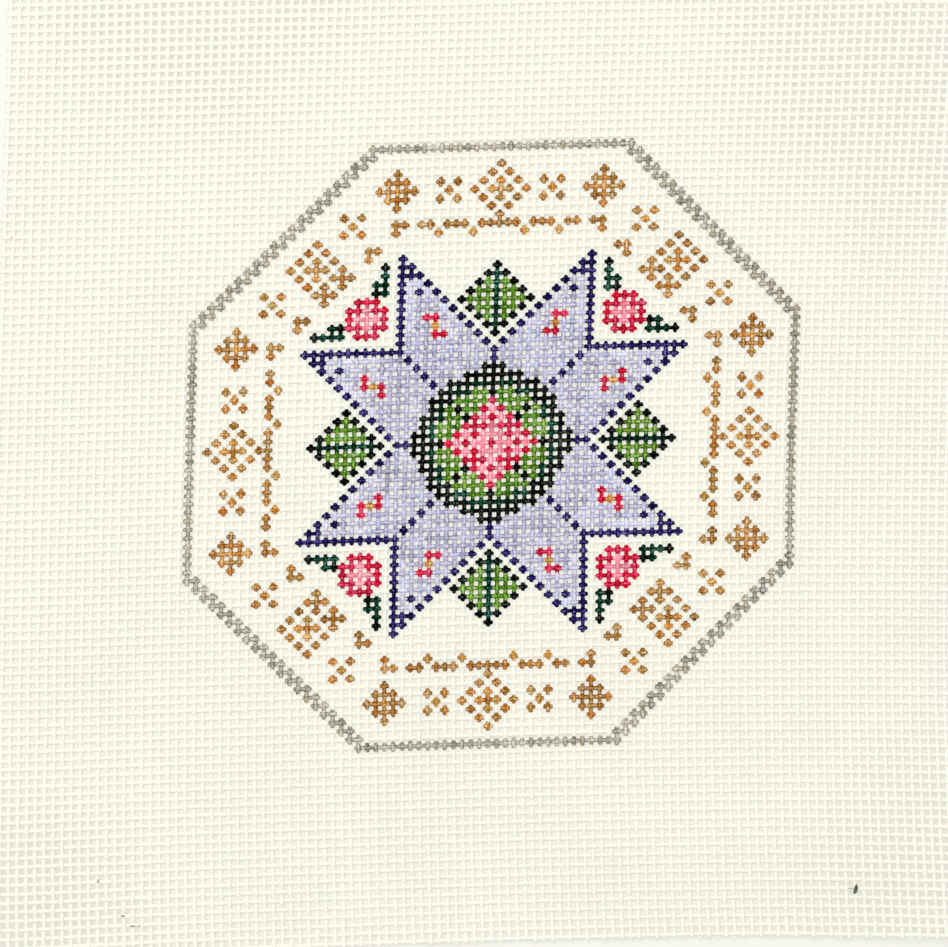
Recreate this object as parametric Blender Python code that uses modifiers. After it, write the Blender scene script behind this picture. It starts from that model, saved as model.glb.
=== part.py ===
"""A cut length of 18-mesh needlepoint canvas, lying face up on a table.

Metres, +Z up. The woven cloth is one thin sheet, flat on the table in its middle. Three corners and
stretches of two edges stand up to a few millimetres clear of it, and the bottom edge turns up a little. The
weave is slightly out of true: the threads lean, bow and spread as they do in stiff canvas that was cut from
a roll. The sheet is modelled from an open grid, which is shaped first and then given its thickness.
"""

import math
from collections import namedtuple

import bpy

# ---------------------------------------------------------------------------------------------------
# Driving dimensions
# ---------------------------------------------------------------------------------------------------

INCH = 0.0254
MM = 0.001

# The weave: how many threads the piece was cut to, and how far apart they lie.
WARP_THREADS = 116
WEFT_THREADS = 115
WARP_PITCH = INCH / 18
WEFT_PITCH = 0.991 * INCH / 18
THICKNESS = 1.0 * MM

HALF_WIDTH = WARP_THREADS * WARP_PITCH / 2
HALF_LENGTH = WEFT_THREADS * WEFT_PITCH / 2

# How far the weave is out of true, each measured at the edge of the sheet.
WARP_LEAN = 2.2 * MM  # the tops of the warps stand this far to the right
WARP_BOW = 1.7 * MM  # both ends of a warp lie this far to the right of its middle
WARP_CURL = -0.6 * MM  # and the lean eases off by this much towards the ends
CORNER_SPREAD = 1.0 * MM  # the corners spread sideways
SIDE_SPREAD = 0.5 * MM  # the warps lie a little wider apart near both sides
WARP_DRIFT = -0.3 * MM  # and wider apart at the left than at the right
WEFT_RISE = 2.6 * MM  # the right ends of the wefts lie this far up
WEFT_BOW = -0.9 * MM  # both ends of a weft lie below its middle
WEFT_CURL = -0.65 * MM  # and the rise eases off by this much towards the ends
ROW_DRIFT = -1.1 * MM  # the wefts lie wider apart at the bottom than at the top
ROW_SPREAD = 0.8 * MM  # and wider apart at both ends than in the middle
ROW_FAN = -0.25 * MM  # they close up a little towards the right
SIDE_ROWS = 0.3 * MM  # and open out a little towards both sides
CORNER_SINK = -0.35 * MM  # the right corners lie a little low, and the left ones high

# The last few rows above the bottom edge turn up a little.
EDGE_CURL = 0.8 * MM
CURL_REACH = 6.0 * MM

# Where the stiff canvas stands clear of the table. Places are shares of the half width and half length,
# from -1 at the left or bottom edge to 1 at the right or top edge.
Lift = namedtuple("Lift", "across along height reach")
LIFTS = (
    Lift(1.00, 1.00, 3.6 * MM, 60 * MM),  # top right corner
    Lift(1.00, -1.00, 2.0 * MM, 44 * MM),  # bottom right corner
    Lift(-1.00, -1.00, 1.7 * MM, 38 * MM),  # bottom left corner
    Lift(-0.62, 1.00, 1.4 * MM, 36 * MM),  # top edge, near its left end
    Lift(1.00, -0.10, 0.5 * MM, 26 * MM),  # right edge
)

# The grid that carries the shape. Each cell is under five millimetres.
CELLS = 36

CANVAS_COLOUR = (0.90, 0.89, 0.82, 1.0)
CANVAS_ROUGHNESS = 0.75


# ---------------------------------------------------------------------------------------------------
# The shape of the cloth
# ---------------------------------------------------------------------------------------------------


def plan(across, along):
    """Where a point of the weave lies on the table. Both shares run from -1 to 1."""
    x = HALF_WIDTH * across + SIDE_SPREAD * across**3 + CORNER_SPREAD * across * along**2
    x += WARP_LEAN * along + WARP_BOW * along**2 + WARP_CURL * along**3 + WARP_DRIFT * across**2
    y = HALF_LENGTH * along + ROW_DRIFT * along**2 + ROW_SPREAD * along**3
    y += WEFT_RISE * across + WEFT_BOW * across**2 + WEFT_CURL * across**3
    y += ROW_FAN * across * along + SIDE_ROWS * across**2 * along + CORNER_SINK * across * along**2
    return x, y


def lift(across, along):
    """How far the cloth stands above the table: the turned-up edge, and a hump at each lifted place."""
    near_edge = max(0.0, 1.0 - (along + 1.0) * HALF_LENGTH / CURL_REACH)
    height = EDGE_CURL * near_edge * near_edge
    for place in LIFTS:
        away = math.hypot(
            (across - place.across) * HALF_WIDTH, (along - place.along) * HALF_LENGTH
        )
        near = max(0.0, 1.0 - away / place.reach)
        height += place.height * near * near * (3.0 - 2.0 * near)
    return height


def middle_of(numbers):
    """Half way between the least and the greatest of them."""
    return (min(numbers) + max(numbers)) / 2


def shape_sheet(mesh):
    """Moves a flat grid, two units square, to the lie of the cloth, and centres it on the origin."""
    for vertex in mesh.vertices:
        across, along = vertex.co.x, vertex.co.y
        vertex.co = (*plan(across, along), lift(across, along))
    centre_x = middle_of([vertex.co.x for vertex in mesh.vertices])
    centre_y = middle_of([vertex.co.y for vertex in mesh.vertices])
    for vertex in mesh.vertices:
        vertex.co.x -= centre_x
        vertex.co.y -= centre_y


# ---------------------------------------------------------------------------------------------------
# Finish and assembly
# ---------------------------------------------------------------------------------------------------


def cotton_material():
    """Sized white cotton: pale, dull and a little warm."""
    material = bpy.data.materials.new("sized_cotton")
    material.use_nodes = True
    shader = material.node_tree.nodes["Principled BSDF"]
    shader.inputs["Base Color"].default_value = CANVAS_COLOUR
    shader.inputs["Roughness"].default_value = CANVAS_ROUGHNESS
    shader.inputs["Metallic"].default_value = 0.0
    material.diffuse_color = CANVAS_COLOUR
    return material


def make_canvas(collection):
    """The one piece of cloth: a shaped grid, thickened upwards so that its underside meets the table."""
    bpy.ops.mesh.primitive_grid_add(x_subdivisions=CELLS, y_subdivisions=CELLS, size=2)
    canvas = bpy.context.object
    canvas.name = canvas.data.name = "canvas"
    shape_sheet(canvas.data)
    canvas.data.shade_smooth()
    canvas.data.materials.append(cotton_material())

    thicken = canvas.modifiers.new("thickness", "SOLIDIFY")
    thicken.thickness = THICKNESS
    thicken.offset = 1.0
    thicken.use_even_offset = True

    for holder in list(canvas.users_collection):
        holder.objects.unlink(canvas)
    collection.objects.link(canvas)
    return canvas


def clear_scene():
    for thing in list(bpy.data.objects):
        bpy.data.objects.remove(thing, do_unlink=True)


def main():
    clear_scene()
    collection = bpy.data.collections.new("needlepoint_canvas")
    bpy.context.scene.collection.children.link(collection)
    make_canvas(collection)


main()
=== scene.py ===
# %% [markdown]
# # A painted needlepoint canvas, thread by thread
#
# Needlepoint canvas is an open, plain-woven cotton, stiffened with size so that its threads keep their
# places. This piece has 18 threads to the inch. A design is painted on it, one spot of paint for each
# crossing of a warp and a weft, and a stitch will later cover each spot. The edges are raw: they were cut
# with scissors and nothing binds them.
#
# The cloth could be one flat sheet with a woven picture on it, but the holes are as wide as the threads,
# light falls through them, and each thread throws a shadow on the table. So every thread is a real tube
# here, and a geometry-node tree weaves them, because a weave is nothing but a rule that repeats.

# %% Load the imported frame
import math
import random

import bpy
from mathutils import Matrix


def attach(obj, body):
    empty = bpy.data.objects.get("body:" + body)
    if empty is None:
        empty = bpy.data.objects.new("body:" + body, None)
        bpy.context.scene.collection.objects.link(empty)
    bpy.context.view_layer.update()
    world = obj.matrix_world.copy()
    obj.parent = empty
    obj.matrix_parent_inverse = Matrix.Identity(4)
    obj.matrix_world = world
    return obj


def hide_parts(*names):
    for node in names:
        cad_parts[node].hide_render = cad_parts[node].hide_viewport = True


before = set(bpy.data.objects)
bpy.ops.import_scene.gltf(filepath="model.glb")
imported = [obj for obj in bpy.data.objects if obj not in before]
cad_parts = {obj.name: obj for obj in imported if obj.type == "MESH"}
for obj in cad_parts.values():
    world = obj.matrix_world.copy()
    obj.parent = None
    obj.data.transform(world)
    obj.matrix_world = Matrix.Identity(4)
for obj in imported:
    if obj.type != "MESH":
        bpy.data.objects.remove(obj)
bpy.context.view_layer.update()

# %% [markdown]
# ## The sizes of the cloth
#
# All lengths are in metres. The solid that stands in for the cloth was shaped by the same named sizes, so
# the threads land where the solid is. A thread fills about half of the distance to the next one, as it does
# in a mono canvas, and is pressed a little flat.

# %% Sizes
MM = 0.001
INCH = 0.0254

WARPS = 116
WEFTS = 115
THREADS_PER_INCH = 18
ROW_CLOSENESS = 0.991  # the wefts lie a little closer together than the warps
WARP_PITCH = INCH / THREADS_PER_INCH
WEFT_PITCH = ROW_CLOSENESS * INCH / THREADS_PER_INCH
HALF_WIDTH = WARPS * WARP_PITCH / 2
HALF_LENGTH = WEFTS * WEFT_PITCH / 2

# The shape of a thread. Wander and stubs are counted in crossings, and spread, unevenness and paint body are
# shares of its thickness.
THREAD = {
    "Thread Width": 0.82 * MM,
    "Thread Height": 0.50 * MM,
    "Warp Crimp": 0.17 * MM,  # how far a warp rises above the middle of the cloth, and sinks below it
    "Weft Crimp": 0.06 * MM,  # the wefts lie straighter
    "Spread": 0.10,  # how much wider it is where it crosses another, and narrower half way
    "Wander": 0.05,  # how far it strays sideways
    "Unevenness": 0.2,  # how much it swells and thins
    "Paint Body": 0.02,  # how much thicker it is where it is painted
    "Shortest Stub": -0.3,  # a cut end stops at most this far short of the edge
    "Longest Stub": 0.0,  # and at best right at it
    "Table Gap": 0.08 * MM,  # between the table and a warp at its lowest
}

print(f"{WARPS} warps and {WEFTS} wefts, {2000 * HALF_WIDTH:.1f} by {2000 * HALF_LENGTH:.1f} mm as cut")

# %% [markdown]
# ## How the cloth lies
#
# Stiff canvas from a roll is never quite true. Its threads lean and bow, and they spread towards the
# corners. A few terms of a polynomial describe this: `across` and `along` run from -1 to 1 between the cut
# edges, and each named size is a distance at the edge. Three corners and parts of two edges also stand clear
# of the table by up to a few millimetres, and each of those places is a soft hump with a height and a reach.
# The last few rows above the bottom edge turn up a little, from the scissors.

# %% The lie of the cloth
LIE = {
    "Half Width": HALF_WIDTH,
    "Half Length": HALF_LENGTH,
    "Warp Lean": 2.2 * MM,
    "Warp Bow": 1.7 * MM,
    "Warp Curl": -0.6 * MM,
    "Corner Spread": 1.0 * MM,
    "Side Spread": 0.5 * MM,
    "Warp Drift": -0.3 * MM,
    "Weft Rise": 2.6 * MM,
    "Weft Bow": -0.9 * MM,
    "Weft Curl": -0.65 * MM,
    "Row Drift": -1.1 * MM,
    "Row Spread": 0.8 * MM,
    "Row Fan": -0.25 * MM,
    "Side Rows": 0.3 * MM,
    "Corner Sink": -0.35 * MM,
    "Edge Curl": 0.8 * MM,  # the bottom edge turns up by this much
    "Curl Reach": 6.0 * MM,
}

# Each place: across, along, height, reach.
LIFTED_PLACES = {
    "top right corner": (1.00, 1.00, 3.6 * MM, 60 * MM),
    "bottom right corner": (1.00, -1.00, 2.0 * MM, 44 * MM),
    "bottom left corner": (-1.00, -1.00, 1.7 * MM, 38 * MM),
    "top edge": (-0.62, 1.00, 1.4 * MM, 36 * MM),
    "right edge": (1.00, -0.10, 0.5 * MM, 26 * MM),
}


def plan(size, across, along):
    """Where a point of the weave lies on the table, from plain numbers or numbers that nodes work out."""
    across_2, along_2 = across * across, along * along
    x = size["Half Width"] * across
    x = x + size["Side Spread"] * across_2 * across + size["Corner Spread"] * across * along_2
    x = x + size["Warp Lean"] * along + size["Warp Bow"] * along_2 + size["Warp Curl"] * along_2 * along
    x = x + size["Warp Drift"] * across_2
    y = size["Half Length"] * along
    y = y + size["Row Drift"] * along_2 + size["Row Spread"] * along_2 * along
    y = y + size["Weft Rise"] * across + size["Weft Bow"] * across_2 + size["Weft Curl"] * across_2 * across
    y = y + size["Row Fan"] * across * along + size["Side Rows"] * across_2 * along
    y = y + size["Corner Sink"] * across * along_2
    return x, y


def share(number, threads):
    """Where a thread lies between the cut edges, from -1 to 1. Its number too is plain or worked out."""
    return (number - (threads - 1) / 2) / (threads / 2)


# The solid was centred by the outermost points of its grid, so the threads are moved by the same amount.
CELLS = 36
steps = [-1 + 2 * k / CELLS for k in range(CELLS + 1)]
places = [plan(LIE, across, along) for across in steps for along in steps]
CENTRE = [(min(side) + max(side)) / 2 for side in zip(*places)]
print("the cloth is moved by", [round(-1000 * c, 2) for c in CENTRE], "mm to centre it")

# %% [markdown]
# ## A small language for node trees
#
# A tree of nodes is easier to read as a formula. `Worked` is a number that nodes work out, and it can be
# added and multiplied as a plain number can, so that `plan` above also builds nodes. `node` adds any other
# node, and joins or sets its inputs.


# %% Helpers for node trees
class Worked:
    """A number that nodes work out."""

    def __init__(self, tree, socket):
        self.tree, self.socket = tree, socket

    def by(self, operation, *others):
        sum_node = self.tree.nodes.new("ShaderNodeMath")
        sum_node.operation = operation
        for place, value in zip(sum_node.inputs, (self, *others)):
            feed(self.tree, place, value)
        return Worked(self.tree, sum_node.outputs[0])

    def __add__(self, other):
        return self.by("ADD", other)

    def __mul__(self, other):
        return self.by("MULTIPLY", other)

    def __sub__(self, other):
        return self.by("SUBTRACT", other)

    def __rsub__(self, other):
        return self * -1 + other

    def __truediv__(self, other):
        return self.by("DIVIDE", other)

    __radd__, __rmul__ = __add__, __mul__

    def between(self, low, high):
        return self.by("MAXIMUM", low).by("MINIMUM", high)


def feed(tree, socket, value):
    """Sets an input, or joins it to what works it out."""
    if isinstance(value, Worked):
        tree.links.new(value.socket, socket)
    elif isinstance(value, bpy.types.NodeSocket):
        tree.links.new(value, socket)
    else:
        socket.default_value = value


def node(tree, kind, inputs=(), **settings):
    """A new node. Its inputs are named by their identifiers."""
    made = tree.nodes.new(kind)
    for name, setting in settings.items():
        setattr(made, name, setting)
    by_identifier = {socket.identifier: socket for socket in made.inputs}
    for name, value in dict(inputs).items():
        feed(tree, by_identifier[name], value)
    return made


def vector(tree, x, y, z=0.0):
    return node(tree, "ShaderNodeCombineXYZ", {"X": x, "Y": y, "Z": z}).outputs[0]


def new_tree(name, inputs, outputs):
    """An empty tree of geometry nodes with named inputs and outputs, and its inputs as worked numbers."""
    tree = bpy.data.node_groups.new(name, "GeometryNodeTree")
    for label, (form, value) in inputs.items():
        socket = tree.interface.new_socket(label, in_out="INPUT", socket_type="NodeSocket" + form)
        if value is not None:
            socket.default_value = value
    for label, form in outputs.items():
        tree.interface.new_socket(label, in_out="OUTPUT", socket_type="NodeSocket" + form)
    given = tree.nodes.new("NodeGroupInput")
    return tree, {socket.name: Worked(tree, socket) for socket in given.outputs if socket.name}


def use(tree, group, inputs):
    """A node that stands for another tree. Its inputs are named by their labels."""
    made = node(tree, "GeometryNodeGroup", node_tree=group)
    for label, value in inputs.items():
        feed(tree, made.inputs[label], value)
    return made


def give(tree, outputs):
    """The tree's results."""
    ends = tree.nodes.new("NodeGroupOutput")
    for label, value in outputs.items():
        feed(tree, ends.inputs[label], value)


print("helpers are ready")

# %% [markdown]
# ## Two small trees for the lie of the cloth
#
# The first tree gives the height of one lifted place: it falls smoothly from the full height at the place
# to nothing at its reach. The second adds them all up and puts a point of the weave on the table. Keeping
# them apart from the weaving means that a flatter or a more curled cloth needs no change to the threads.

# %% One lifted place
lifted_place, given = new_tree(
    "lifted_place",
    {
        "Across": ("Float", 0.0),
        "Along": ("Float", 0.0),
        "Half Width": ("Float", HALF_WIDTH),
        "Half Length": ("Float", HALF_LENGTH),
        "Place Across": ("Float", 0.0),
        "Place Along": ("Float", 0.0),
        "Height": ("Float", 1.0 * MM),
        "Reach": ("Float", 50.0 * MM),
    },
    {"Lift": "Float"},
)
x_away = (given["Across"] - given["Place Across"]) * given["Half Width"]
y_away = (given["Along"] - given["Place Along"]) * given["Half Length"]
away = (x_away * x_away + y_away * y_away).by("POWER", 0.5)
near = (1 - away / given["Reach"]).between(0.0, 1.0)
give(lifted_place, {"Lift": given["Height"] * near * near * (3 - near * 2)})
print("tree", lifted_place.name, "has", len(lifted_place.nodes), "nodes")

# %% The place of a point of the weave
lie_of_cloth, given = new_tree(
    "lie_of_cloth",
    {"Across": ("Float", 0.0), "Along": ("Float", 0.0)}
    | {label: ("Float", value) for label, value in LIE.items()},
    {"X": "Float", "Y": "Float", "Lift": "Float"},
)
x, y = plan(given, given["Across"], given["Along"])
lift = None
for label, (across, along, height, reach) in LIFTED_PLACES.items():
    hump = use(
        lie_of_cloth,
        lifted_place,
        {name: given[name] for name in ("Across", "Along", "Half Width", "Half Length")}
        | {"Place Across": across, "Place Along": along, "Height": height, "Reach": reach},
    )
    hump.label = label
    hump = Worked(lie_of_cloth, hump.outputs["Lift"])
    lift = hump if lift is None else lift + hump
near_edge = 1 - (given["Along"] + 1) * given["Half Length"] / given["Curl Reach"]
near_edge = near_edge.between(0.0, 1.0)
lift = lift + given["Edge Curl"] * near_edge * near_edge
give(lie_of_cloth, {"X": x - CENTRE[0], "Y": y - CENTRE[1], "Lift": lift})
print("tree", lie_of_cloth.name, "has", len(lie_of_cloth.nodes), "nodes")

# %% [markdown]
# ## The painted chart
#
# A canvas painter works to a chart: one square for each crossing. The chart here is a traditional
# eight-petalled star in an eight-sided frame, drawn by rules. The same rule holds in all eight directions,
# so a crossing is first folded into one eighth: `far` is the larger of its two distances from the middle,
# and `near` the smaller. Each rule returns the name of a paint, or nothing where the cotton stays bare.

# %% The paints
PAINTS = {
    "ochre": (179, 130, 68),
    "gold": (195, 149, 80),
    "grey": (173, 168, 152),
    "lavender": (189, 187, 209),
    "pale lavender": (209, 208, 227),
    "navy": (39, 28, 90),
    "black green": (9, 14, 12),
    "dark green": (12, 56, 39),
    "green": (98, 141, 45),
    "crimson": (202, 29, 65),
    "pink": (243, 152, 170),
}


def linear(colour):
    """Screen values from 0 to 255, as the amounts of light that the shader needs."""
    shares = (value / 255 for value in colour)
    return [s / 12.92 if s <= 0.04045 else ((s + 0.055) / 1.055) ** 2.4 for s in shares]


print(len(PAINTS), "paints:", ", ".join(PAINTS))

# %% The rules of the design
# Sizes and places in the design, all in crossings. A place is a pair: far and near.
ROSETTE_EDGE = 5
WREATH_EDGE = 19
POINT = 11  # a petal reaches twice as far as this
BLOSSOM = 7  # how many rows of its petal a small blossom lies from both inner sides
LEAF_MIDDLE, LEAF_EDGE = (17, 0), 4
BUD_MIDDLE = 15
BUD_LEAF = ((18, 13), (19, 13), (20, 13), (19, 14))
BUD_LEAF_ENDS = ((21, 13), (18, 14))
LARGE_DIAMONDS = ((30, 0), (21, 21))
SMALL_DIAMOND = (30, 12)
CROSSES = ((30, 6), (26, 17))
LINE, LINE_END = 26, 9  # the broken line along a straight side of the border
SLANT, SLANT_START = 37, 11  # and along a slanting one, where far and near add up to the first number
FRAME, FRAME_CORNER = 35, 15
FRAME_SLANT = (49, 50)


def steps_from(far, near, centre_far, centre_near):
    return abs(far - centre_far) + abs(near - centre_near)


def rosette(far, near):
    """The middle of the star."""
    ring = far + near
    if ring > ROSETTE_EDGE:
        return None
    if ring in (0, 3, ROSETTE_EDGE) or (far, near) == (2, 2):
        return "crimson"
    return "pink"


def wreath(far, near):
    """A ring of green leaves round it, dark at their edges."""
    ring = 2 * far + near
    if ring > WREATH_EDGE:
        return None
    if ring >= WREATH_EDGE - 2 or near == 0 or far == near:
        return "black green"
    return "dark green" if ring >= WREATH_EDGE - 4 else "green"


def petal(far, near):
    """One of eight lozenges, with rows counted from its two inner sides and a small blossom in it."""
    left, right = near, far - near
    inner, outer = min(left, right), max(left, right)
    if outer > POINT:
        return None
    if outer == POINT or inner == 0:
        return "navy"
    blossom = steps_from(left, right, BLOSSOM, BLOSSOM)
    if blossom <= 1:
        return "crimson" if blossom else "gold"
    if left == right and left > BLOSSOM + 1:
        return "navy"
    return "pale lavender" if outer == POINT - 1 and inner > 3 else "lavender"


def leaf(far, near):
    """A pointed leaf in each of the four wide notches."""
    ring = steps_from(far, near, *LEAF_MIDDLE)
    if ring > LEAF_EDGE:
        return None
    if ring == LEAF_EDGE:
        return "black green"
    return "green" if near else "dark green"


def bud(far, near):
    """A round bud between two small leaves in each of the other notches."""
    a, b = abs(far - BUD_MIDDLE), abs(near - BUD_MIDDLE)
    if max(a, b) <= 2 and a + b <= 3:
        return "pink" if a + b <= 1 else "crimson"
    if (far, near) in BUD_LEAF:
        return "dark green"
    if (far, near) in BUD_LEAF_ENDS:
        return "black green"
    return None


def border(far, near):
    """Diamonds, crosses and a broken line between the star and the frame."""
    for middle in LARGE_DIAMONDS:
        ring = steps_from(far, near, *middle)
        if ring in (0, 3):
            return "ochre"
        if ring == 1:
            return "gold"
    ring = steps_from(far, near, *SMALL_DIAMOND)
    if ring <= 2:
        return "ochre" if ring else "gold"
    for middle_far, middle_near in CROSSES:
        a, b = abs(far - middle_far), abs(near - middle_near)
        if a == b and a <= 1:
            return "ochre" if a else "gold"
    if far == LINE and near <= LINE_END and near % 4 != 3:
        return "ochre"
    if far == LINE - 1 and near in (3, 7):
        return "gold"
    if near >= SLANT_START and far + near == SLANT and (far - near) % 6 in (1, 3):
        return "ochre"
    if near >= SLANT_START and far + near == SLANT + 1 and (far - near) % 6 == 2:
        return "ochre"
    return None


def outer_line(far, near):
    """The eight-sided frame."""
    if far == FRAME and near <= FRAME_CORNER or far <= FRAME and far + near in FRAME_SLANT:
        return "grey"
    return None


RULES = (rosette, wreath, petal, leaf, bud, border, outer_line)
MIDDLE = (57, 57)  # the crossing in the middle of the design


def paint_for(warp, weft):
    across, up = abs(warp - MIDDLE[0]), abs(weft - MIDDLE[1])
    far, near = max(across, up), min(across, up)
    return next((paint for paint in (rule(far, near) for rule in RULES) if paint), None)


CHART = {(i, j): paint_for(i, j) for i in range(WARPS) for j in range(WEFTS)}
CHART = {place: paint for place, paint in CHART.items() if paint}
print(len(CHART), "painted crossings")

# %% [markdown]
# ## The chart as points
#
# Geometry nodes read attributes, so the chart becomes a grid of loose points, one for each crossing. A
# point carries the colour of its paint and how much of it there is. Paint that is mixed and brushed by hand
# differs from spot to spot, the golds more than the rest, so each spot gets a tone of its own.

# %% Make the chart's points
GOLDS = ("ochre", "gold")
CHART_SEED = 18
COVERS = (0.84, 1.0)  # the least and the most paint on a spot
TONES = (0.84, 1.16)  # the darkest and the palest spot
GOLD_WARMTH, WARMTH = 0.13, 0.04  # how much warmer or cooler a spot can be than its paint
dice = random.Random(CHART_SEED)
chart_mesh = bpy.data.meshes.new("chart")
chart_mesh.from_pydata([(i, j, 0) for j in range(WEFTS) for i in range(WARPS)], [], [])
cover = chart_mesh.attributes.new("cover", "FLOAT", "POINT").data
paint = chart_mesh.attributes.new("paint", "FLOAT_VECTOR", "POINT").data
for (i, j), name in CHART.items():
    point = i + j * WARPS
    cover[point].value = dice.uniform(*COVERS)
    tone = dice.uniform(*TONES)
    warm = dice.uniform(-1, 1) * (GOLD_WARMTH if name in GOLDS else WARMTH)
    red, green, blue = linear(PAINTS[name])
    paint[point].vector = (tone * red * (1 + warm), tone * green, tone * blue * (1 - warm))

chart = bpy.data.objects.new("chart", chart_mesh)
bpy.context.scene.collection.objects.link(chart)
print("the chart has", len(chart_mesh.vertices), "points")

# %% [markdown]
# ## The weaving tree
#
# A plain weave is a checkerboard: at crossing (i, j) the warp is on top if i + j is even. A cosine along
# each thread does this, with the opposite sign for the wefts. The wefts lie straighter than the warps, which
# do most of the bending round them. One tree weaves both families. It makes one straight line, cuts it into
# three steps for each crossing, copies it once for each thread, and then moves every point to its place.
#
# Three steps a crossing is little, but a shape that repeats twelve thousand times must be cheap, and
# smooth shading hides the rest. Each thread has its own noise: it wanders a little sideways and swells and
# thins. Its cut ends are uneven, and the sweep is closed by two last rings drawn in to a point.

# %% Start the tree with its threads as lines
weaving, given = new_tree(
    "weave_threads",
    {
        "Geometry": ("Geometry", None),
        "Threads": ("Int", 38),
        "First Thread": ("Int", 0),
        "Crossings": ("Int", WEFTS),
        "Warp": ("Float", 1.0),
    }
    | {label: ("Float", value) for label, value in THREAD.items()}
    | {"Seed": ("Float", 1.0), "Chart": ("Object", None), "Cotton": ("Material", None)},
    {"Geometry": "Geometry"},
)
is_warp = given["Warp"]
STEPS = 3  # for each crossing
CLOSING_RINGS = 2  # one at each end


def store(line, name, value, form="FLOAT", domain="POINT"):
    """Keeps a value on the geometry under a name."""
    return node(
        weaving,
        "GeometryNodeStoreNamedAttribute",
        {"Geometry": line, "Name": name, "Value": value},
        data_type=form,
        domain=domain,
    ).outputs["Geometry"]


def named(name, form="FLOAT"):
    found = node(weaving, "GeometryNodeInputNamedAttribute", {"Name": name}, data_type=form)
    return Worked(weaving, found.outputs["Attribute"])


rings = given["Crossings"] * STEPS + (1 + CLOSING_RINGS)
line = node(weaving, "GeometryNodeCurvePrimitiveLine", {"Start": (0, 0, 0), "End": (1, 0, 0)})
line = node(
    weaving, "GeometryNodeResampleCurve", {"Curve": line.outputs[0], "Count": rings}, mode="COUNT"
)
copies = node(
    weaving,
    "GeometryNodeDuplicateElements",
    {"Geometry": line.outputs[0], "Amount": given["Threads"]},
    domain="SPLINE",
)
row = Worked(weaving, copies.outputs["Duplicate Index"])
lines = store(copies.outputs["Geometry"], "row", row)
lines = store(lines, "thread_number", named("row") + given["First Thread"])
ring = Worked(weaving, node(weaving, "GeometryNodeSplineParameter").outputs["Index"])
lines = store(lines, "ring", ring)
print("the lines are laid out")

# %% [markdown]
# ### Where each ring of a thread stands
#
# `at` counts crossings along the thread, and `number` says which thread it is. The first and last rings
# stand just past the ones next to them, and only close the end. Noise that is read at the thread's own number
# gives each thread another run of wander and swelling. `dice_roll` gives a random number to each end, and
# one to each thread's thickness.

# %% Count along the threads
END_CAP = 0.05  # how far past its neighbour a closing ring stands, in crossings
LONG_BENDS = 1.6  # how much stronger they are than the short ones
THICKNESS_RANGE = 0.05  # how much thicker or thinner than usual a whole thread is
START_DRAW, END_DRAW, THICKNESS_DRAW = 11, 12, 13
SEED_STRIDE = 31.7  # keeps the noise of two seeds apart

# Each noise: how fast it changes along a thread and from one thread to the next, where it is read, detail.
NOISES = {
    "long bends": (0.13, 0.45, 0, 1.0),
    "short bends": (0.8, 7.3, 9, 1.0),
    "swelling": (1.1, 3.9, 40, 2.0),
    "crimp": (0.9, 5.1, 70, 1.0),
}

number, ring = named("thread_number"), named("ring")
last = rings - 1
at_start = ring.by("LESS_THAN", 1.5)
at_end = ring.by("GREATER_THAN", last - 1.5)
closes_start = ring.by("LESS_THAN", 0.5)
closes_end = ring.by("GREATER_THAN", last - 0.5)
closing = closes_start + closes_end


def dice_roll(low, high, which):
    """One random number for each thread."""
    roll = node(
        weaving,
        "FunctionNodeRandomValue",
        {"Min_001": low, "Max_001": high, "ID": number, "Seed": given["Seed"] + which},
        data_type="FLOAT",
    )
    return Worked(weaving, roll.outputs[1])


def noise(name):
    """One of the noises, smooth and from about -1 to 1."""
    pace, stride, start, detail = NOISES[name]
    place = vector(weaving, at * pace, number * stride, seed + start)
    found = node(weaving, "ShaderNodeTexNoise", {"Vector": place, "Scale": 1.0, "Detail": detail})
    return Worked(weaving, found.outputs[0]) * 2 - 1


start_stub, end_stub = (
    dice_roll(given["Shortest Stub"], given["Longest Stub"], draw) for draw in (START_DRAW, END_DRAW)
)
at = (ring - 1).between(0.0, given["Crossings"] * STEPS) / STEPS - 0.5
at = at - at_start * start_stub + at_end * end_stub
at = at - closes_start * END_CAP + closes_end * END_CAP

seed = given["Seed"] * SEED_STRIDE
sideways = number + given["Wander"] * (noise("long bends") * LONG_BENDS + noise("short bends"))
thickness = 1 + given["Unevenness"] * noise("swelling")
thickness = thickness + dice_roll(-THICKNESS_RANGE, THICKNESS_RANGE, THICKNESS_DRAW)
thickness = thickness + (at * (2 * math.pi)).by("COSINE") * given["Spread"]
print("the threads wander and swell")

# %% Put the rings in their places
CRIMP_UNEVENNESS = 0.16
across = share(is_warp * sideways + (1 - is_warp) * at, WARPS)
along = share(is_warp * at + (1 - is_warp) * sideways, WEFTS)
lie = use(weaving, lie_of_cloth, {"Across": across, "Along": along})
x, y, lift = (Worked(weaving, lie.outputs[label]) for label in ("X", "Y", "Lift"))

# A ring stands a third of the way from a crest to the next half-way point, so the crest is set higher.
crimp = is_warp * given["Warp Crimp"] + (1 - is_warp) * given["Weft Crimp"]
crest = crimp / math.cos(math.pi / (2 * STEPS))
wave = ((number + at) * math.pi).by("COSINE") * crest * (is_warp * 2 - 1)
uneven = 1 + noise("crimp") * CRIMP_UNEVENNESS
z = given["Table Gap"] + given["Warp Crimp"] + given["Thread Height"] / 2 + wave * uneven + lift
lines = node(
    weaving, "GeometryNodeSetPosition", {"Geometry": lines, "Position": vector(weaving, x, y, z)}
).outputs[0]
print("the threads go over and under")

# %% [markdown]
# ### How much paint each ring has
#
# Between two crossings the paint of one gives way to that of the next. A ring near a crossing has all of
# that crossing's paint, and a ring half way has half from each. The thread's material cuts this slope off
# sharply, with a ragged edge. Paint has some body of its own, so a painted thread is a little thicker.

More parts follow.
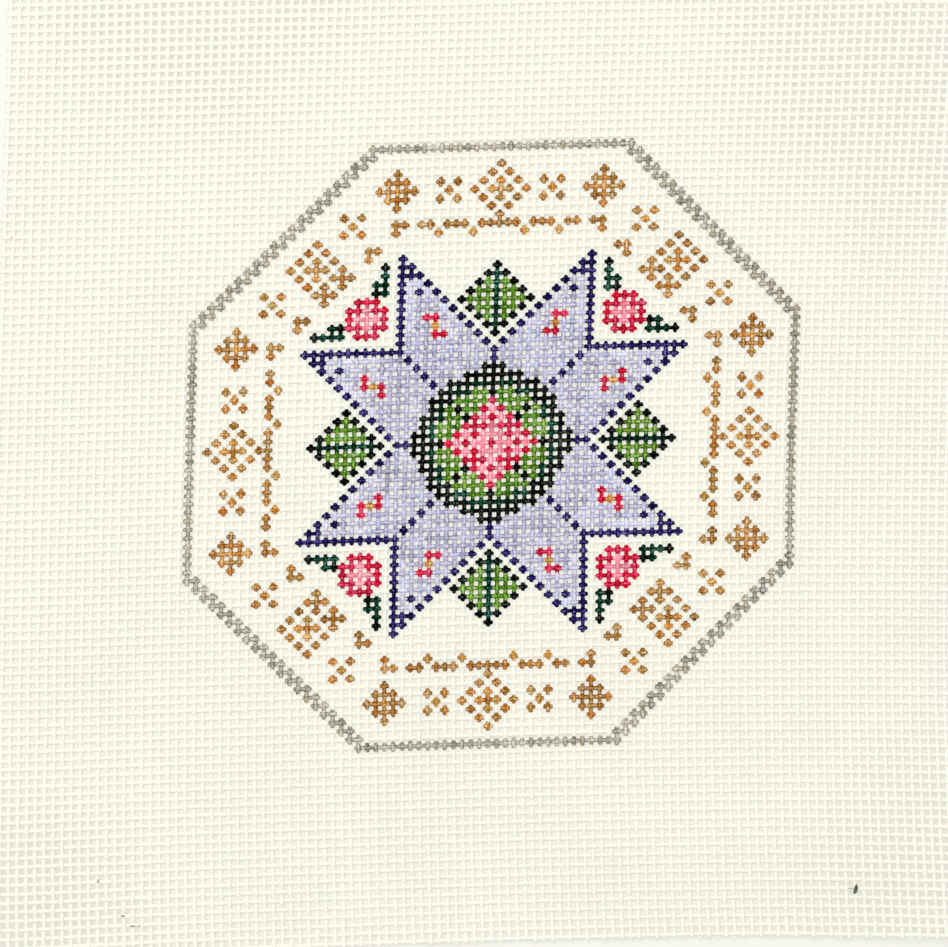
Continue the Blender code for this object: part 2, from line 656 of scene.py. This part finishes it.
# %% Read the chart
HALF_STEP = 1 / (2 * STEPS)
PAINT_SLOPE = 1.5  # from nothing at the last ring near a crossing to all at the next crossing's first
most = given["Crossings"] - 1
chart_points = node(
    weaving, "GeometryNodeObjectInfo", {"Object": given["Chart"]}, transform_space="ORIGINAL"
).outputs["Geometry"]


def from_chart(name, form, crossing):
    """The chart's value where this thread meets that crossing."""
    crossing = crossing.between(0.0, most)
    place = is_warp * (number + crossing * WARPS) + (1 - is_warp) * (crossing + number * WARPS)
    found = node(
        weaving,
        "GeometryNodeSampleIndex",
        {"Geometry": chart_points, "Value": named(name, form), "Index": place.by("ROUND")},
        data_type=form,
        domain="POINT",
    )
    return Worked(weaving, found.outputs["Value"])


def shared_paint(at, crossing):
    """The amount of paint there, from that crossing and from the next one."""
    from_next = ((at - crossing - HALF_STEP) * PAINT_SLOPE).between(0.0, 1.0)
    here, there = (from_chart("cover", "FLOAT", crossing + k) for k in (0, 1))
    return here * (1 - from_next), there * from_next


here, there = shared_paint(at, at.by("FLOOR"))
lines = store(lines, "cover", here + there)
thickness = thickness + named("cover") * given["Paint Body"]
print("each ring knows how much paint it has")

# %% [markdown]
# ### From lines to threads
#
# The profile is a hexagon, pressed flat. It is drawn as an open arc of seven points, so that the position
# round the thread can run from 0 to 1 without a jump, and the seam is on the underside. Two maps are
# written on the corners before the seam is closed. `thread` counts crossings along and turns round, for
# the material. `OFBake` lays the threads side by side in a square, with narrow gaps, for anyone who bakes the
# finish into an image: an automatic map would make thousands of tiny islands of it.
#
# A face runs between two crossings, so it keeps the paint of both, and each corner keeps the share of the
# second. The material then lets one paint end and the other begin without mixing them.

# %% Sweep the profile and map it
PROFILE_POINTS = 7
NUDGE = 0.01  # keeps the face at a crossing from being rounded down to the one before
LEAST_COVER = 0.001  # keeps bare faces from dividing by nothing
BAKE_MARGIN, BAKE_GAP = 0.002, 0.04  # left free past the ends of the threads, and between them

arc = node(
    weaving,
    "GeometryNodeCurveArc",
    {
        "Resolution": PROFILE_POINTS,
        "Radius": 0.5,
        "Start Angle": math.pi / 2,
        "Sweep Angle": 2 * math.pi,
    },
    mode="RADIUS",
).outputs["Curve"]
point_number = Worked(weaving, node(weaving, "GeometryNodeInputIndex").outputs[0])
turn = point_number / (PROFILE_POINTS - 1)
arc = store(arc, "round", turn)
flat = vector(weaving, given["Thread Width"], given["Thread Height"], 1.0)
profile = node(weaving, "GeometryNodeTransform", {"Geometry": arc, "Scale": flat}).outputs[0]

upright = node(weaving, "GeometryNodeSetCurveNormal", {"Curve": lines}, mode="Z_UP").outputs[0]
swept = node(
    weaving,
    "GeometryNodeCurveToMesh",
    {"Curve": upright, "Profile Curve": profile, "Scale": thickness * (1 - closing)},
).outputs["Mesh"]
swept = store(swept, "along", at)
thread_map = vector(weaving, named("along"), named("round"))
swept = store(swept, "thread", thread_map, "FLOAT2", "CORNER")

# A face lies between two crossings, and keeps the paint of both.
swept = store(swept, "crossing", (named("along") + NUDGE).by("FLOOR"), domain="FACE")
here, there = shared_paint(named("along"), named("crossing"))
next_share = there / (here + there).by("MAXIMUM", LEAST_COVER)
swept = store(swept, "next_share", next_share, domain="CORNER")
for k, name in enumerate(("paint", "next_paint")):
    colour = from_chart("paint", "FLOAT_VECTOR", named("crossing") + k)
    swept = store(swept, name, colour, "FLOAT_VECTOR", "FACE")

bake_map = vector(
    weaving,
    BAKE_MARGIN + (1 - 2 * BAKE_MARGIN) * named("ring") / last,
    (named("row") + BAKE_GAP + (1 - 2 * BAKE_GAP) * named("round")) / given["Threads"],
)
swept = store(swept, "OFBake", bake_map, "FLOAT2", "CORNER")
print("the profile is swept")

# %% Close the seams and finish the tree
SEAM = 0.004 * MM  # points nearer than this become one
closed = node(
    weaving, "GeometryNodeMergeByDistance", {"Geometry": swept, "Distance": SEAM}, mode="ALL"
).outputs[0]
smooth = node(
    weaving, "GeometryNodeSetShadeSmooth", {"Geometry": closed, "Shade Smooth": True}, domain="FACE"
).outputs[0]
for name in ("round", "row", "ring", "along", "crossing"):
    smooth = node(
        weaving, "GeometryNodeRemoveAttribute", {"Geometry": smooth, "Name": name}
    ).outputs[0]
real = node(weaving, "GeometryNodeRealizeInstances", {"Geometry": smooth}).outputs[0]
dressed = node(
    weaving, "GeometryNodeSetMaterial", {"Geometry": real, "Material": given["Cotton"]}
).outputs[0]
give(weaving, {"Geometry": dressed})
print("tree", weaving.name, "has", len(weaving.nodes), "nodes")

# %% [markdown]
# ## The cotton and its paint
#
# The thread is white cotton of two plies, sized until it is stiff and almost smooth, so the twist shows
# only as a shallow ridge that winds round it. Where a crossing is painted, the paint sits on top of the
# thread and wraps a little way down its sides; the underside stays white. Thin paint lets the cotton shine
# through and looks lighter, and thick paint is darker. Both are almost without gloss, so the darkest paints
# stay dark. All of this is one material, because one thread runs from bare cotton into paint and out again.

# %% The material
TWIST = 9.4  # how far the plies wind round from one crossing to the next, in radians
FIBRE_PACE, FIBRE_STRIDE = 1.3, 5.7  # how fast fibres change along a thread, and from one to the next
FIBRE_SCALE, FIBRE_DETAIL = 2.6, 3.0
SPOT_SCALE, BLOT_SCALE, PATCH_SCALE = 2600.0, 500.0, 45.0  # larger is finer

cotton = bpy.data.materials.new("sized_cotton_painted")
cotton.use_nodes = True
shading = cotton.node_tree
shading.nodes.clear()


def read(name):
    return node(shading, "ShaderNodeAttribute", attribute_type="GEOMETRY", attribute_name=name)


def rough_noise(place, scale, detail=2.0):
    """Noise from 0 to 1, with 0.5 as its middle."""
    found = node(
        shading, "ShaderNodeTexNoise", {"Vector": place, "Scale": scale, "Detail": detail}
    )
    return Worked(shading, found.outputs[0])


thread_map = node(shading, "ShaderNodeUVMap", uv_map="thread").outputs[0]
run = node(shading, "ShaderNodeSeparateXYZ", {"Vector": thread_map})
along_thread, round_thread = Worked(shading, run.outputs[0]), Worked(shading, run.outputs[1])
thread_number = Worked(shading, read("thread_number").outputs["Fac"])
place = node(shading, "ShaderNodeTexCoord").outputs["Object"]

turned = round_thread * (2 * math.pi)
upward = turned.by("COSINE") * -1
twist = turned + along_thread * TWIST
fibre_run = along_thread * FIBRE_PACE + thread_number * FIBRE_STRIDE
fibre_place = vector(shading, fibre_run, twist.by("COSINE"), twist.by("SINE"))
ply = (twist * 2).by("SINE") * 0.5 + 0.5
ROUGH = {
    "fibres": rough_noise(fibre_place, FIBRE_SCALE, FIBRE_DETAIL),
    "spots": rough_noise(place, SPOT_SCALE),
    "blots": rough_noise(place, BLOT_SCALE),
    "patches": rough_noise(place, PATCH_SCALE),
}


def stirred(base, **strengths):
    """A number that noise moves up and down, each kind of noise by its own strength."""
    for name, strength in strengths.items():
        base = base + (ROUGH[name] - 0.5) * strength
    return base


def edge(value, sharpness):
    """A ramp from 0 to 1, half way up where the value is nothing."""
    return (value * sharpness + 0.5).between(0.0, 1.0)


def mix(factor, first, second):
    """A colour between two, from the first at 0 to the second at 1."""
    return node(
        shading,
        "ShaderNodeMix",
        {"Factor_Float": factor, "A_Color": first, "B_Color": second},
        data_type="RGBA",
    ).outputs[2]


print("the thread's own coordinates are ready")

# %% [markdown]
# ### Where the paint ends
#
# The amount of paint falls off between crossings and down the sides of the thread. It is compared with a
# limit that noise moves about, so each arm of a painted spot tapers, and ends at its own length. Paint runs
# off the crown of a thread and gathers along its own edge, so it is darkest there. The sides of a thread are
# also painted darker than its crown, partly as paint that gathers there and partly as painted shade.

# %% Mask, paint and bare cotton
SIDE_LOSS = 0.42  # how much less paint there is on the side of a thread than on its crown
PAINT_LIMIT, PAINT_SHARPNESS = 0.33, 12
NO_PAINT = 0.02
MEETING_SHARPNESS = 8  # where the paints of two crossings meet
POOL_LIMIT, POOL_WIDTH, POOL_DEPTH = 0.56, 0.2, 1.6  # where paint gathers along its edge, and how dark
# The second number paints a thread's sides darker than its crown: partly gathered paint, partly painted
# shade.
THIN_PAINT, SIDE_SHADE_AND_POOL = 0.9, 1.25  # over 1, a layer is darker than its paint, and under 1 it is lighter
THINNEST, THICKEST = 0.4, 3.0
WHITE_SHARE = 0.6
DULL_COTTON = (0.84, 0.836, 0.75, 1.0)
WHITE_COTTON = (0.95, 0.946, 0.83, 1.0)

amount = Worked(shading, read("cover").outputs["Fac"])
reaching = stirred(amount - (1 - upward) * SIDE_LOSS, spots=0.3, fibres=0.15)
painted = edge(reaching - PAINT_LIMIT, PAINT_SHARPNESS) * amount.by("GREATER_THAN", NO_PAINT)

next_share = Worked(shading, read("next_share").outputs["Fac"])
meeting = edge(stirred(next_share - 0.5, spots=0.6), MEETING_SHARPNESS)
nearest = mix(meeting, read("paint").outputs["Color"], read("next_paint").outputs["Color"])
gathered = (POOL_LIMIT - reaching).between(0.0, POOL_WIDTH) * POOL_DEPTH
brushed = stirred(0.0, fibres=1.4, spots=3.2, blots=1.6)
# Darker towards the sides of the thread: partly paint gathered there, partly painted shade on a round thread.
paint_depth_and_shade = THIN_PAINT + (1 - upward) * SIDE_SHADE_AND_POOL + gathered + brushed
layer = {"Color": nearest, "Gamma": paint_depth_and_shade.between(THINNEST, THICKEST)}
laid_on = node(shading, "ShaderNodeGamma", layer).outputs[0]

white = stirred(WHITE_SHARE, patches=0.8, fibres=2.4, spots=1.2).between(0.0, 1.0)
bare = mix(white, DULL_COTTON, WHITE_COTTON)
print("paint and cotton are mixed")

# %% [markdown]
# ### Small marks
#
# A canvas that has been handled is never quite clean: one dark fleck with a pale tail sits on a crossing
# near the bottom right corner. A few faint grey specks, most of them near the bottom left, make the threads
# darker where they lie. Each is an oval that is placed by thread numbers, turned, and given a ragged edge.
# A Mapping node brings the cloth to the oval, so that the distance from its middle is 1 at its edge.

# %% The marks
# Each mark: warp, weft, half length, half width, degrees turned from the weft, colour, strength.
MARKS = {
    "tail of the fleck": (98.5, 4.97, 0.55 * MM, 0.14 * MM, -6, (176, 178, 110), 0.75),
    "dark fleck": (99.05, 4.93, 0.80 * MM, 0.34 * MM, 77, (74, 80, 52), 0.95),
    "speck by the left edge": (0.85, 82.9, 0.36 * MM, 0.15 * MM, 90, (176, 178, 170), 0.7),
    "speck 2": (12.15, 8.1, 0.32 * MM, 0.20 * MM, 80, (158, 156, 146), 0.8),
    "speck 3": (14.85, 4.05, 0.36 * MM, 0.17 * MM, 4, (128, 126, 114), 0.85),
    "speck 4": (16.0, 2.9, 0.44 * MM, 0.16 * MM, 3, (132, 130, 118), 0.8),
    "speck 5": (16.75, 2.85, 0.24 * MM, 0.16 * MM, 0, (160, 158, 148), 0.7),
}
MARK_RAGGEDNESS, MARK_SHARPNESS = 1.4, 3


def crossing_place(warp, weft):
    """Where a crossing lies on the finished cloth."""
    x, y = plan(LIE, share(warp, WARPS), share(weft, WEFTS))
    return x - CENTRE[0], y - CENTRE[1]


surface = mix(painted, bare, laid_on)
for name, (warp, weft, long, wide, turned_by, colour, strength) in MARKS.items():
    oval = node(
        shading,
        "ShaderNodeMapping",
        {
            "Vector": place,
            "Location": (*crossing_place(warp, weft), 0.0),
            "Rotation": (0.0, 0.0, math.radians(turned_by)),
            "Scale": (long, wide, 1.0),
        },
        vector_type="TEXTURE",
    )
    distance = node(
        shading, "ShaderNodeVectorMath", {"Vector": oval.outputs[0]}, operation="LENGTH"
    )
    inward = 1 - Worked(shading, distance.outputs["Value"])
    inside = edge(stirred(inward, spots=MARK_RAGGEDNESS), MARK_SHARPNESS)
    surface = mix(inside * strength, surface, (*linear(colour), 1.0))
print(len(MARKS), "marks")

# %% Relief, gloss and output
PLY_RELIEF, FIBRE_RELIEF, SPOT_RELIEF = 0.6, 0.5, 0.12
RELIEF_STRENGTH, RELIEF_DEPTH = 0.6, 0.05 * MM
COTTON_ROUGHNESS, PAINT_SMOOTHNESS = 0.82, 0.24
GLOSS = 0.01

relief = ply * PLY_RELIEF + ROUGH["fibres"] * FIBRE_RELIEF + ROUGH["spots"] * SPOT_RELIEF
bumps = node(
    shading,
    "ShaderNodeBump",
    {"Height": relief, "Strength": RELIEF_STRENGTH, "Distance": RELIEF_DEPTH},
)
shader = node(
    shading,
    "ShaderNodeBsdfPrincipled",
    {
        "Base Color": surface,
        "Roughness": stirred(COTTON_ROUGHNESS - PAINT_SMOOTHNESS * painted, spots=0.1),
        "Normal": bumps.outputs[0],
        "Specular IOR Level": GLOSS,
    },
)
node(shading, "ShaderNodeOutputMaterial", {"Surface": shader.outputs[0]})
print("material", cotton.name, "has", len(shading.nodes), "nodes")

# %% [markdown]
# ## Weave the cloth
#
# Six pieces hold the threads: three strips of warps and three of wefts, because a single mesh of all the
# threads would be too heavy for the formats that the part is handed on in. A modifier's inputs are set by
# their identifiers before the object is first evaluated. The result is then kept as a plain mesh, and the
# modifier goes.

# %% Weave six strips
identifier = {
    item.name: item.identifier
    for item in weaving.interface.items_tree
    if item.item_type == "SOCKET" and item.in_out == "INPUT"
}
WARP_SEED, WEFT_SEED = 3.0, 8.0

# Each strip: 1 for warps and 0 for wefts, the number of its first thread, how many threads it has.
STRIPS = {
    "warps_left": (1.0, 0, 39),
    "warps_middle": (1.0, 39, 38),
    "warps_right": (1.0, 77, 39),
    "wefts_bottom": (0.0, 0, 38),
    "wefts_middle": (0.0, 38, 39),
    "wefts_top": (0.0, 77, 38),
}


def weave(name, warp, first, threads):
    """A strip of threads of one family, as a plain mesh."""
    strip = bpy.data.objects.new(name, bpy.data.meshes.new(name + "_start"))
    bpy.context.scene.collection.objects.link(strip)
    modifier = strip.modifiers.new("threads", "NODES")
    modifier.node_group = weaving
    inputs = THREAD | {
        "Threads": threads,
        "First Thread": first,
        "Crossings": WEFTS if warp else WARPS,
        "Warp": warp,
        "Seed": WARP_SEED if warp else WEFT_SEED,
        "Chart": chart,
        "Cotton": cotton,
    }
    for label, value in inputs.items():
        modifier[identifier[label]] = value
    woven = strip.evaluated_get(bpy.context.evaluated_depsgraph_get())
    mesh = bpy.data.meshes.new_from_object(woven)
    strip.modifiers.clear()
    strip.data = mesh
    mesh.name = name
    triangles = sum(len(face.vertices) - 2 for face in mesh.polygons)
    print(f"{name}: {threads} threads, {triangles} triangles")
    return strip


strips = {name: weave(name, *facts) for name, facts in STRIPS.items()}
bpy.data.objects.remove(chart, do_unlink=True)

# %% [markdown]
# ## What each strip is
# Every strip rides on the one body there is, and takes the place of the plain solid. Each is declared as a
# sheet of cloth, laid on the table, with the size that it was cut to.

for name, strip in strips.items():
    warp, _, threads = STRIPS[name]
    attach(strip, "root")
    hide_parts("canvas")

# %% [markdown]
# ## The table, the light and the camera
#
# The canvas lies on a plain white table and is seen from straight above. A wide, soft light hangs near it,
# almost overhead and a little towards the top left, which leaves a thin shadow under each weft and along the
# bottom edge. A bright room fills the shadows in, alike from all sides, so the holes stay pale. The camera is
# 0.4 m up, which is why the lifted corners look larger.

# %% The table
TABLE_SIZE = 4.0
TABLE_FINISH = {
    "Base Color": (0.47, 0.465, 0.432, 1.0),
    "Roughness": 0.9,
    "Specular IOR Level": 0.1,
    "Emission Color": (1.0, 0.99, 0.93, 1.0),
    "Emission Strength": 0.43,  # a glow, so that the table is nearly white even in the holes
}
bpy.ops.mesh.primitive_plane_add(size=TABLE_SIZE)
table = bpy.context.object
table.name = table.data.name = "table"
table_top = bpy.data.materials.new("white_table")
table_top.use_nodes = True
top = table_top.node_tree.nodes["Principled BSDF"]
for name, value in TABLE_FINISH.items():
    top.inputs[name].default_value = value
table.data.materials.append(table_top)
print("the table is", TABLE_SIZE, "m wide")

# %% The room
ROOM_LIGHT = 0.65
world = bpy.data.worlds.new("bright_room")
world.use_nodes = True
background = world.node_tree.nodes["Background"]
background.inputs["Color"].default_value = (1.0, 1.0, 1.0, 1.0)
background.inputs["Strength"].default_value = ROOM_LIGHT
bpy.context.scene.world = world
print("the room lights the cloth from all sides")

# %% The window
WINDOW_WIDTH = 0.45
WINDOW_POWER = 2.4  # in watts
WINDOW_PLACE = (-0.08, 0.15, 0.62)
window_data = bpy.data.lights.new("window", "AREA")
window_data.shape = "SQUARE"
window_data.size = WINDOW_WIDTH
window_data.energy = WINDOW_POWER
window = bpy.data.objects.new("window", window_data)
bpy.context.scene.collection.objects.link(window)
window.location = WINDOW_PLACE
window.rotation_euler = (-window.location).to_track_quat("-Z", "Y").to_euler()
bpy.context.scene.view_settings.view_transform = "Standard"
print("the light is", round(window.location.length, 2), "m away")

# %% The camera
VIEW_HEIGHT = 0.400
VIEW_WIDTH = 0.1558  # what the camera sees of the cloth at that height
VIEW_MIDDLE = (-3.57 * MM, -5.14 * MM)  # on the weave as it lay before it was centred
CLOTH_TOP = 1.0 * MM
SENSOR = 36.0  # in millimetres, as the lens is
NEAREST = 0.01
camera_data = bpy.data.cameras.new("camera")
camera_data.sensor_width = SENSOR
camera_data.lens = SENSOR * VIEW_HEIGHT / VIEW_WIDTH
camera_data.clip_start = NEAREST
camera = bpy.data.objects.new("camera", camera_data)
camera.location = (
    VIEW_MIDDLE[0] - CENTRE[0],
    VIEW_MIDDLE[1] - CENTRE[1],
    VIEW_HEIGHT + CLOTH_TOP,
)
bpy.context.scene.collection.objects.link(camera)
bpy.context.scene.camera = camera
print("the camera looks down from", [round(c, 4) for c in camera.location])
